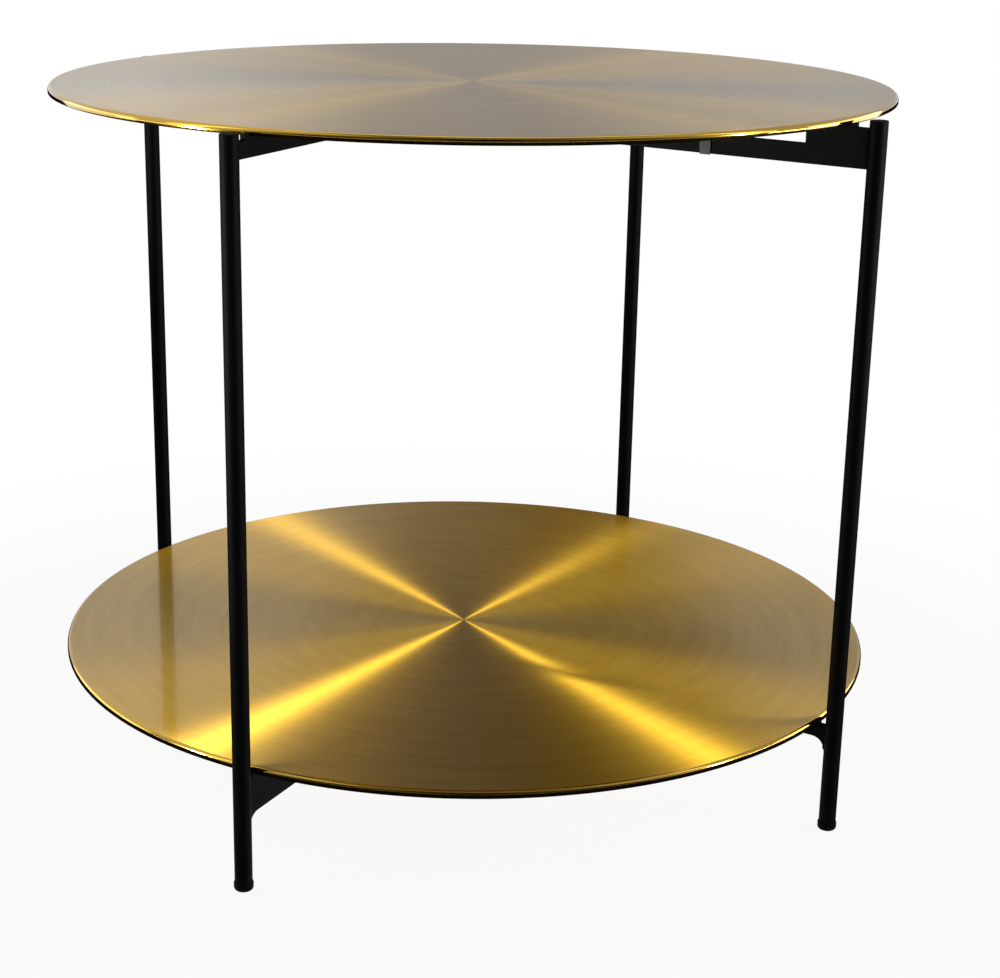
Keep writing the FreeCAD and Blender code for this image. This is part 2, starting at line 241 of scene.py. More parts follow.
def brushed_lacquered_brass():
    """Sheet brass, brushed on a turntable and lacquered: fine rings, so that each lamp draws a
    bright line straight through the middle of the tray. A small share of the face mirrors, in a
    blur, what stands round it, and the rim and its bend are smooth."""
    spacing = 0.7 * MM  # the real brush lines are about 0.15 mm apart and wouldn't show
    smooth_share, smooth_blur = 0.28, 0.3  # on the face; the rim has 1 and 0.08
    colours = values().finishes
    material, tree = new_material("brushed_lacquered_brass")
    place = add(tree, "ShaderNodeTexCoord").outputs["Object"]
    flat = add(tree, "ShaderNodeVectorMath", {0: place, 1: (1, 1, 0)},
               operation="MULTIPLY").outputs["Vector"]
    radius = add(tree, "ShaderNodeVectorMath", {0: flat}, operation="LENGTH").outputs["Value"]
    heading = add(tree, "ShaderNodeVectorMath", {0: flat}, operation="NORMALIZE")

    def ring_noise(apart, turn, detail):
        """Noise in rings that far apart, each broken up round the tray as turn grows."""
        out = add(tree, "ShaderNodeMath", {0: radius, 1: 1 / apart}, operation="MULTIPLY")
        along = add(tree, "ShaderNodeVectorMath", {0: heading.outputs[0], "Scale": turn},
                    operation="SCALE")
        rise = add(tree, "ShaderNodeCombineXYZ", {"Z": out.outputs[0]})
        spot = add(tree, "ShaderNodeVectorMath", {0: along.outputs[0], 1: rise.outputs[0]},
                   operation="ADD")
        return add(tree, "ShaderNodeTexNoise", {"Vector": spot.outputs[0], "Scale": 1.0,
                                                "Detail": detail, "Roughness": 0.6}).outputs[0]

    hairlines = ring_noise(spacing, 5.0, 3.0)
    bands = ring_noise(9 * MM, 2.5, 2.0)
    tone = add(tree, "ShaderNodeMix", {0: 0.45, 2: hairlines, 3: bands}, data_type="FLOAT")
    tone = add(tree, "ShaderNodeMapRange", {0: tone.outputs[0], 1: 0.35, 2: 0.65, 3: 0.0, 4: 1.0})
    tint = add(tree, "ShaderNodeMix", {0: tone.outputs[0], 6: solid(colours.brass_deep),
                                       7: solid(colours.brass)}, data_type="RGBA")
    rough = add(tree, "ShaderNodeMapRange", {0: tone.outputs[0], 1: 0.0, 2: 1.0, 3: 0.56, 4: 0.5})
    relief = add(tree, "ShaderNodeBump", {"Height": hairlines, "Strength": 0.35,
                                          "Distance": 0.01 * MM})
    across = add(tree, "ShaderNodeTangent", direction_type="RADIAL", axis="Z")
    brushed = add(tree, "ShaderNodeBsdfPrincipled", {
        "Base Color": tint.outputs[2], "Metallic": 1.0, "Roughness": rough.outputs[0],
        "Anisotropic": 1.0, "Anisotropic Rotation": 0.25, "Tangent": across.outputs[0],
        "Normal": relief.outputs[0], "Coat Weight": 1.0, "Coat Roughness": 0.12,
    })
    normal = add(tree, "ShaderNodeTexCoord").outputs["Normal"]
    level = add(tree, "ShaderNodeSeparateXYZ", {0: normal}).outputs["Z"]
    level = add(tree, "ShaderNodeMath", {0: level}, operation="ABSOLUTE").outputs[0]
    blur = add(tree, "ShaderNodeMapRange", {0: level, 1: 0.96, 2: 0.999, 3: 0.08,
                                            4: smooth_blur})
    polished = add(tree, "ShaderNodeBsdfPrincipled", {
        "Base Color": tint.outputs[2], "Metallic": 1.0, "Roughness": blur.outputs[0],
        "Normal": relief.outputs[0], "Coat Weight": 1.0, "Coat Roughness": 0.04,
    })
    between = add(tree, "ShaderNodeMapRange", {0: level, 1: 0.96, 2: 0.999, 3: 1.0,
                                               4: smooth_share})
    close_surface(tree, add(tree, "ShaderNodeMixShader", {
        0: between.outputs[0], 1: brushed.outputs[0], 2: polished.outputs[0]}))
    return material


def grained(name, rgb, roughness, grain, height, specular, spread=0.06):
    """A satin black finish: an even dark colour with a fine grain in its gloss and surface."""
    material, tree = new_material(name)
    place = add(tree, "ShaderNodeTexCoord").outputs["Object"]
    fine = add(tree, "ShaderNodeTexNoise", {"Vector": place, "Scale": 1 / grain, "Detail": 2.0})
    broad = add(tree, "ShaderNodeTexNoise", {"Vector": place, "Scale": 1 / (40 * MM),
                                             "Detail": 3.0})
    lighter = tuple(min(1.0, c * 1.5) for c in rgb)
    tint = add(tree, "ShaderNodeMix", {0: broad.outputs[0], 6: solid(rgb), 7: solid(lighter)},
               data_type="RGBA")
    gloss = add(tree, "ShaderNodeMix", {0: 0.5, 2: fine.outputs[0], 3: broad.outputs[0]},
                data_type="FLOAT")
    rough = add(tree, "ShaderNodeMapRange", {0: gloss.outputs[0], 1: 0.3, 2: 0.7,
                                             3: roughness - spread, 4: roughness + spread})
    relief = add(tree, "ShaderNodeBump", {"Height": fine.outputs[0], "Strength": 0.4,
                                          "Distance": height})
    shader = add(tree, "ShaderNodeBsdfPrincipled", {
        "Base Color": tint.outputs[2], "Roughness": rough.outputs[0],
        "Specular IOR Level": specular, "Normal": relief.outputs[0],
    })
    close_surface(tree, shader)
    return material


def satin_powder_coat():
    """Polyester powder baked on steel: deep black, a low sheen and a fine orange peel."""
    return grained("satin_powder_coat", values().finishes.coat, 0.58, 1.2 * MM, 0.02 * MM, 0.04)


def moulded_plastic():
    """Injection-moulded polyethylene caps and glides: black and a little duller than the coat."""
    return grained("moulded_plastic", values().finishes.plastic, 0.6, 0.6 * MM, 0.01 * MM, 0.04)


def turned_nylon():
    """Cut nylon washers: dark, waxy and smooth."""
    return grained("turned_nylon", values().finishes.nylon, 0.42, 0.5 * MM, 0.01 * MM, 0.35)


def black_oxide_steel():
    """Blackened steel fasteners: dark metal with a dull oiled gleam."""
    material, tree = new_material("black_oxide_steel")
    place = add(tree, "ShaderNodeTexCoord").outputs["Object"]
    mottle = add(tree, "ShaderNodeTexNoise", {"Vector": place, "Scale": 1 / (1.5 * MM),
                                              "Detail": 3.0})
    rgb = values().finishes.oxide
    worn = tuple(min(1.0, c * 1.8) for c in rgb)
    tint = add(tree, "ShaderNodeMix", {0: mottle.outputs[0], 6: solid(rgb), 7: solid(worn)},
               data_type="RGBA")
    rough = add(tree, "ShaderNodeMapRange", {0: mottle.outputs[0], 1: 0.3, 2: 0.7, 3: 0.32,
                                             4: 0.5})
    relief = add(tree, "ShaderNodeBump", {"Height": mottle.outputs[0], "Strength": 0.3,
                                          "Distance": 0.01 * MM})
    shader = add(tree, "ShaderNodeBsdfPrincipled", {
        "Base Color": tint.outputs[2], "Metallic": 1.0, "Roughness": rough.outputs[0],
        "Normal": relief.outputs[0],
    })
    close_surface(tree, shader)
    return material


def moulded_silicone():
    """Soft moulded silicone: a dull, greyish clear with a faintly uneven skin."""
    material, tree = new_material("moulded_silicone")
    place = add(tree, "ShaderNodeTexCoord").outputs["Object"]
    cloud = add(tree, "ShaderNodeTexNoise", {"Vector": place, "Scale": 1 / (2.5 * MM),
                                             "Detail": 2.0})
    rgb = values().finishes.silicone
    milky = tuple(c * 0.9 for c in rgb)
    tint = add(tree, "ShaderNodeMix", {0: cloud.outputs[0], 6: solid(milky), 7: solid(rgb)},
               data_type="RGBA")
    rough = add(tree, "ShaderNodeMapRange", {0: cloud.outputs[0], 1: 0.3, 2: 0.7, 3: 0.5,
                                             4: 0.62})
    relief = add(tree, "ShaderNodeBump", {"Height": cloud.outputs[0], "Strength": 0.3,
                                          "Distance": 0.05 * MM})
    shader = add(tree, "ShaderNodeBsdfPrincipled", {
        "Base Color": tint.outputs[2], "Roughness": rough.outputs[0], "IOR": 1.41,
        "Specular IOR Level": 0.2, "Transmission Weight": 0.55, "Normal": relief.outputs[0],
    })
    close_surface(tree, shader)
    return material


FINISHES = {
    "brushed_brass_sheet": brushed_lacquered_brass,
    "black_powder_coat": satin_powder_coat,
    "black_plastic": moulded_plastic,
    "black_steel_fastener": black_oxide_steel,
    "nylon_washer": turned_nylon,
    "clear_silicone": moulded_silicone,
}


def finish_of(slot):
    """The material of one of the record's slots, made once."""
    maker = FINISHES[slot]
    return bpy.data.materials.get(maker.__name__) or maker()


# Mesh tools


def outline(bm, corners, rounds=None):
    """A face from (across, up) corners in the XZ plane. rounds gives some corners, by their
    number, an arc of (radius, segments)."""
    verts = [bm.verts.new((across, 0, up)) for across, up in corners]
    bm.faces.new(verts)
    for corner, (radius, segments) in (rounds or {}).items():
        bmesh.ops.bevel(bm, geom=[verts[corner]], offset=radius, offset_type="OFFSET",
                        segments=segments, profile=0.5, affect="VERTICES", material=-1)
    return bm.faces[:][0]


def turn(bm, steps):
    """Turns the outline in the XZ plane once round the Z axis."""
    bmesh.ops.remove_doubles(bm, verts=bm.verts, dist=MERGE)
    bmesh.ops.delete(bm, geom=bm.faces[:], context="FACES_ONLY")
    on_axis = [e for e in bm.edges if all(abs(v.co.x) < MERGE for v in e.verts)]
    bmesh.ops.delete(bm, geom=on_axis, context="EDGES")
    bmesh.ops.spin(bm, geom=bm.verts[:] + bm.edges[:], cent=(0, 0, 0), axis=(0, 0, 1),
                   angle=math.tau, steps=steps, use_merge=True)
    bmesh.ops.remove_doubles(bm, verts=bm.verts, dist=MERGE)


def thicken(bm, face, thickness):
    """Draws a face in the XZ plane out to both sides of it."""
    back = bmesh.ops.extrude_face_region(bm, geom=[face])["geom"]
    bmesh.ops.translate(bm, verts=[v for v in back if isinstance(v, bmesh.types.BMVert)],
                        vec=(0, thickness, 0))
    bmesh.ops.translate(bm, verts=bm.verts, vec=(0, -thickness / 2, 0))


def soften(bm, radius, segments=3, least=math.radians(35)):
    """Rounds the edges where a shape turns by more than the least angle."""
    bmesh.ops.remove_doubles(bm, verts=bm.verts, dist=MERGE)
    bmesh.ops.recalc_face_normals(bm, faces=bm.faces)
    sharp = [e for e in bm.edges if len(e.link_faces) == 2 and e.calc_face_angle(0) > least]
    bmesh.ops.bevel(bm, geom=sharp, offset=radius, offset_type="OFFSET", segments=segments,
                    profile=0.5, affect="EDGES", clamp_overlap=True, material=-1)


def put_in_place(bm, x=0.0, y=0.0, z=0.0, turned=0.0):
    bmesh.ops.rotate(bm, verts=bm.verts, cent=(0, 0, 0), matrix=Matrix.Rotation(turned, 3, "Z"))
    bmesh.ops.translate(bm, verts=bm.verts, vec=(x, y, z))


def new_object(name, bm, sharp=math.radians(38)):
    bmesh.ops.remove_doubles(bm, verts=bm.verts, dist=MERGE)
    bmesh.ops.dissolve_degenerate(bm, dist=MERGE, edges=bm.edges)
    bmesh.ops.recalc_face_normals(bm, faces=bm.faces)
    mesh = bpy.data.meshes.new(name)
    bm.to_mesh(mesh)
    bm.free()
    mesh.shade_smooth()
    mesh.set_sharp_from_angle(angle=sharp)
    made = bpy.data.objects.new(name, mesh)
    bpy.context.scene.collection.objects.link(made)
    return made


def finish_piece(name, bm, slot, node, even=True):
    """Makes the piece that stands for a CAD node, on that node's body."""
    piece = new_object(name, bm)
    piece.data.materials.append(finish_of(slot))
    if even:
        piece.modifiers.new("Even shading", "WEIGHTED_NORMAL").keep_sharp = True
    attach(piece, BODY_OF[node])
    return piece


def join_into(target, bm):
    """Adds a bmesh to another and frees it."""
    mesh = bpy.data.meshes.new("part")
    bm.to_mesh(mesh)
    bm.free()
    target.from_mesh(mesh)
    bpy.data.meshes.remove(mesh)


def middle(node):
    low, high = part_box(node)
    return (low + high) / 2


def arm_line(arm):
    """An arm's direction from the middle of the table, and how far out its leg stands."""
    centre = middle(f"leg_{arm}")
    return math.atan2(centre.y, centre.x), math.hypot(centre.x, centre.y)


def radius_of(node):
    low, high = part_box(node)
    return (high.x - low.x) / 2


# Pieces


class SIDETABLE_OT_trays(bpy.types.Operator):
    """Turns the table top and the shelf, each a brass sheet with its rim turned down"""

    bl_idname = "side_table.trays"
    bl_label = "Trays"

    def execute(self, context):
        sizes = values().trays
        support = 0.6 * MM  # keeps the shading of the flat face flat up to the bend
        for node in ("table_top", "shelf"):
            low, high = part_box(node)
            radius, face, foot = radius_of(node), high.z, low.z
            inside = radius - sizes.sheet
            flat = radius - sizes.bend - support
            bm = bmesh.new()
            outline(bm, [
                (0, face - sizes.sheet), (flat, face - sizes.sheet), (inside, face - sizes.sheet),
                (inside, foot), (radius, foot), (radius, face), (flat, face), (0, face),
            ], rounds={2: (sizes.bend - sizes.sheet, 6), 3: (sizes.edge, 2), 4: (sizes.edge, 2),
                       5: (sizes.bend, 10)})
            turn(bm, sizes.steps)
            piece = finish_piece(f"{node}_brass", bm, "brushed_brass_sheet", node, even=False)
            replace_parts(piece, node)
        return {"FINISHED"}


class SIDETABLE_OT_legs(bpy.types.Operator):
    """Turns the four steel tubes with their ends deburred"""

    bl_idname = "side_table.legs"
    bl_label = "Legs"

    def execute(self, context):
        wall = values().frames.wall
        burr = 0.25 * MM
        for arm in ARMS:
            node = f"leg_{arm}"
            low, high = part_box(node)
            radius = radius_of(node)
            bm = bmesh.new()
            outline(bm, [(radius - wall, low.z), (radius, low.z), (radius, high.z),
                         (radius - wall, high.z)],
                    rounds={corner: (burr, 2) for corner in range(4)})
            turn(bm, 48)
            put_in_place(bm, middle(node).x, middle(node).y)
            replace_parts(finish_piece(f"{node}_tube", bm, "black_powder_coat", node), node)
        return {"FINISHED"}


class SIDETABLE_OT_ends(bpy.types.Operator):
    """Turns the caps that close the legs and the glides that they stand on"""

    bl_idname = "side_table.ends"
    bl_label = "Caps and glides"

    def execute(self, context):
        sizes = values().frames
        for arm in ARMS:
            tube_low, tube_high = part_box(f"leg_{arm}")
            stem = radius_of(f"leg_{arm}") - sizes.wall - sizes.stem_gap
            for node, rounds in (
                (f"leg_cap_{arm}", {4: (sizes.cap_edge, 4)}),
                (f"foot_glide_{arm}", {1: (sizes.foot_round, 8), 2: (0.5 * MM, 3)}),
            ):
                low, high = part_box(node)
                radius, centre = radius_of(node), middle(node)
                if node.startswith("leg_cap"):
                    corners = [(0, low.z), (stem, low.z), (stem, tube_high.z),
                               (radius, tube_high.z), (radius, high.z), (0, high.z)]
                else:
                    corners = [(0, low.z), (radius, low.z), (radius, tube_low.z),
                               (stem, tube_low.z), (stem, high.z), (0, high.z)]
                bm = bmesh.new()
                outline(bm, corners, rounds=rounds)
                turn(bm, 48)
                put_in_place(bm, centre.x, centre.y)
                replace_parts(finish_piece(f"{node}_moulded", bm, "black_plastic", node), node)
        return {"FINISHED"}


class SIDETABLE_OT_bars(bpy.types.Operator):
    """Cuts the four flat bars with their seats, notches and gussets, and rounds the bosses"""

    bl_idname = "side_table.bars"
    bl_label = "Bars"

    def execute(self, context):
        for tray, level, seat, height, gusset in (
            ("table_top", "upper", values().frames.upper_seat, values().frames.upper_bar, 0),
            ("shelf", "lower", values().frames.lower_seat, values().frames.lower_bar,
             values().frames.gusset),
        ):
            for side, arm in (("inner", "front_right"), ("outer", "back_right")):
                self.bar(f"{level}_bar_{side}", arm, tray, seat, height, gusset)
        return {"FINISHED"}

    def bar(self, node, arm, tray, seat, height, gusset):
        sizes, trays, pivots = values().frames, values().trays, values().pivots
        low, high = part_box(node)
        direction, ring = arm_line(arm)
        leg_face = ring - radius_of(f"leg_{arm}")
        weld_in = leg_face + 0.8 * MM  # the bar's end stands in the tube's wall
        bottom = low.z + gusset
        seat_end = radius_of(tray) - trays.sheet - trays.play
        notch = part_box(tray)[0].z - sizes.notch
        start = sizes.boss - 1 * MM
        lower = [(start, bottom), (leg_face, bottom), (leg_face, low.z), (weld_in, low.z)]
        if not gusset:
            lower = [(start, bottom), (weld_in, bottom)]
        upper = [(weld_in, notch), (seat_end, notch), (seat_end, high.z),
                 (seat_end - seat, high.z), (seat_end - seat, bottom + height),
                 (start, bottom + height)]
        bm = bmesh.new()
        rounds = {1: (gusset * 0.999, 10)} if gusset else {}
        face = outline(bm, lower + upper, rounds=rounds)
        thicken(bm, face, sizes.bar)
        soften(bm, sizes.bar_edge)
        other = bm.copy()
        bmesh.ops.rotate(other, verts=other.verts, cent=(0, 0, 0),
                         matrix=Matrix.Rotation(math.pi, 3, "Z"))
        join_into(bm, other)
        boss = bmesh.new()
        hole = pivots.shank + 0.08 * MM
        outline(boss, [(hole, bottom), (sizes.boss, bottom), (sizes.boss, bottom + height),
                       (hole, bottom + height)],
                rounds={corner: (sizes.bar_edge, 3) for corner in range(4)})
        turn(boss, 48)
        join_into(bm, boss)
        put_in_place(bm, turned=direction)
        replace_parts(finish_piece(f"{node}_coated", bm, "black_powder_coat", node), node)


class SIDETABLE_OT_welds(bpy.types.Operator):
    """Lays a rippled weld bead down each side of a bar where it meets its leg"""

    bl_idname = "side_table.welds"
    bl_label = "Weld beads"

    def execute(self, context):
        for level in ("upper", "lower"):
            for arm in ARMS:
                self.joint(level, arm)
        return {"FINISHED"}

    def joint(self, level, arm):
        sizes = values().frames
        side = "inner" if arm in ("front_right", "back_left") else "outer"
        bar = f"{level}_bar_{side}"
        tray = "table_top" if level == "upper" else "shelf"
        direction, ring = arm_line(arm)
        leg = radius_of(f"leg_{arm}")
        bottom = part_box(bar)[0].z + sizes.bead
        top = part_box(tray)[0].z - sizes.notch - sizes.bead
        out = ring - math.sqrt(leg ** 2 - (sizes.bar / 2) ** 2)
        bm = bmesh.new()
        for hand in (-1, 1):
            self.bead(bm, out, hand * (sizes.bar / 2 + 0.1 * MM), bottom, top)
        put_in_place(bm, turned=direction)
        finish_piece(f"{level}_weld_{arm}", bm, "black_powder_coat", bar, even=False)

    def bead(self, bm, out, aside, bottom, top):
        """One bead: a ring drawn upwards in short pulls, swelling and narrowing in turn."""
        sizes = values().frames
        pulls = max(2, round((top - bottom) / sizes.bead_pitch)) * 2
        pull = (top - bottom) / pulls
        made = bmesh.ops.create_circle(bm, cap_ends=True, segments=10, radius=sizes.bead * 0.55,
                                       matrix=Matrix.Translation((out, aside, bottom)))
        front = list(made["verts"][0].link_faces)
        for step in range(pulls + 1):
            drawn = bmesh.ops.extrude_face_region(bm, geom=front)["geom"]
            verts = [g for g in drawn if isinstance(g, bmesh.types.BMVert)]
            front = [g for g in drawn if isinstance(g, bmesh.types.BMFace)]
            last = step == pulls
            swell = (0.5 if last else 1 / 0.8 if step % 2 else 0.8) if step else 1.6
            bmesh.ops.translate(bm, verts=verts, vec=(0, 0, pull * (0.5 if last else 1)))
            bmesh.ops.scale(bm, verts=verts, vec=(swell, swell, 1),
                            space=Matrix.Translation((-out, -aside, 0)))


class SIDETABLE_OT_pivots(bpy.types.Operator):
    """Makes the two socket bolts and their washers"""

    bl_idname = "side_table.pivots"
    bl_label = "Pivots"

    def execute(self, context):
        for level in ("upper", "lower"):
            self.bolt(f"{level}_pivot_bolt")
            for node, slot in ((f"{level}_pivot_head_washer", "black_steel_fastener"),
                               (f"{level}_pivot_thrust_washer", "nylon_washer")):
                self.washer(node, slot)
        return {"FINISHED"}

    def washer(self, node, slot):
        sizes = values().pivots
        low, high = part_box(node)
        hole, radius = sizes.shank + 0.08 * MM, radius_of(node)
        bm = bmesh.new()
        outline(bm, [(hole, low.z), (radius, low.z), (radius, high.z), (hole, high.z)],
                rounds={1: (sizes.edge, 3), 2: (sizes.edge, 3)})
        turn(bm, 48)
        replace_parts(finish_piece(f"{node}_cut", bm, slot, node), node)

    def bolt(self, node):
        """A bolt drawn from its hexagon socket outwards, up the head and along the shank."""
        sizes = values().pivots
        low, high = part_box(node)
        head = radius_of(node)
        bm = bmesh.new()
        hexagon = bmesh.ops.create_circle(bm, segments=6, radius=sizes.socket / math.sqrt(3),
                                          matrix=Matrix.Translation((0, 0, low.z)))["verts"]
        sides = {e for v in hexagon for e in v.link_edges}
        bmesh.ops.subdivide_edges(bm, edges=list(sides), cuts=7)
        mouth = bm.edges[:]
        walls = self.pull(bm, mouth, up=sizes.socket_depth)
        bmesh.ops.holes_fill(bm, edges=walls, sides=0)
        rim = bmesh.ops.create_circle(bm, segments=48, radius=head - sizes.edge,
                                      matrix=Matrix.Translation((0, 0, low.z)))["verts"]
        rim = list({e for v in rim for e in v.link_edges})
        bmesh.ops.bridge_loops(bm, edges=mouth + rim)
        for up, radius in ((sizes.edge, head), (sizes.head - 2 * sizes.edge, head),
                           (sizes.edge, head - sizes.edge), (0, sizes.shank)):
            rim = self.pull(bm, rim, up=up, radius=radius)
        rim = self.pull(bm, rim, up=high.z - low.z - sizes.head - sizes.edge)
        rim = self.pull(bm, rim, up=sizes.edge, radius=sizes.shank - sizes.edge)
        bmesh.ops.holes_fill(bm, edges=rim, sides=0)
        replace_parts(finish_piece(f"{node}_steel", bm, "black_steel_fastener", node), node)

    def pull(self, bm, edges, up=0.0, radius=None):
        """Extrudes a round loop of edges upwards, to another radius if one is given."""
        drawn = bmesh.ops.extrude_edge_only(bm, edges=edges)["geom"]
        verts = [g for g in drawn if isinstance(g, bmesh.types.BMVert)]
        bmesh.ops.translate(bm, verts=verts, vec=(0, 0, up))
        if radius is not None:
            now = verts[0].co.xy.length
            bmesh.ops.scale(bm, verts=verts, vec=(radius / now, radius / now, 1))
        return [g for g in drawn if isinstance(g, bmesh.types.BMEdge)]


class SIDETABLE_OT_pads(bpy.types.Operator):
    """Makes the clear saddle pads that straddle the bars"""

    bl_idname = "side_table.pads"
    bl_label = "Saddle pads"

    def execute(self, context):
        for tray in ("top", "shelf"):
            for arm in ARMS:
                self.pad(tray, arm)
        return {"FINISHED"}

    def pad(self, tray, arm):
        sizes = values().frames
        node = f"{tray}_pad_{arm}"
        bar = "upper_bar" if tray == "top" else "lower_bar"
        height = sizes.upper_bar if tray == "top" else sizes.lower_bar
        gusset = 0 if tray == "top" else sizes.gusset
        side = "inner" if arm in ("front_right", "back_left") else "outer"
        low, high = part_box(node)
        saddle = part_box(f"{bar}_{side}")[0].z + gusset + height
        direction, _ = arm_line(arm)
        centre = middle(node)
        inside = sizes.bar / 2
        outside = inside + sizes.pad_wall
        bm = bmesh.new()
        face = outline(bm, [
            (-outside, low.z), (-inside, low.z), (-inside, saddle), (inside, saddle),
            (inside, low.z), (outside, low.z), (outside, high.z), (-outside, high.z),
        ], rounds={6: (sizes.pad_round, 4), 7: (sizes.pad_round, 4)})
        thicken(bm, face, 8 * MM)
        soften(bm, 0.25 * MM, segments=2)
        put_in_place(bm, centre.x, centre.y, turned=direction + math.pi / 2)
        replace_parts(finish_piece(f"{node}_clear", bm, "clear_silicone", node), node)


# Studio


def seen_rays(tree, kinds):
    """1 for the kinds of ray named, and 0 for others."""
    path = add(tree, "ShaderNodeLightPath")
    total = path.outputs[kinds[0]]
    for kind in kinds[1:]:
        total = add(tree, "ShaderNodeMath", {0: total, 1: path.outputs[kind]},
                    operation="MAXIMUM").outputs[0]
    return total


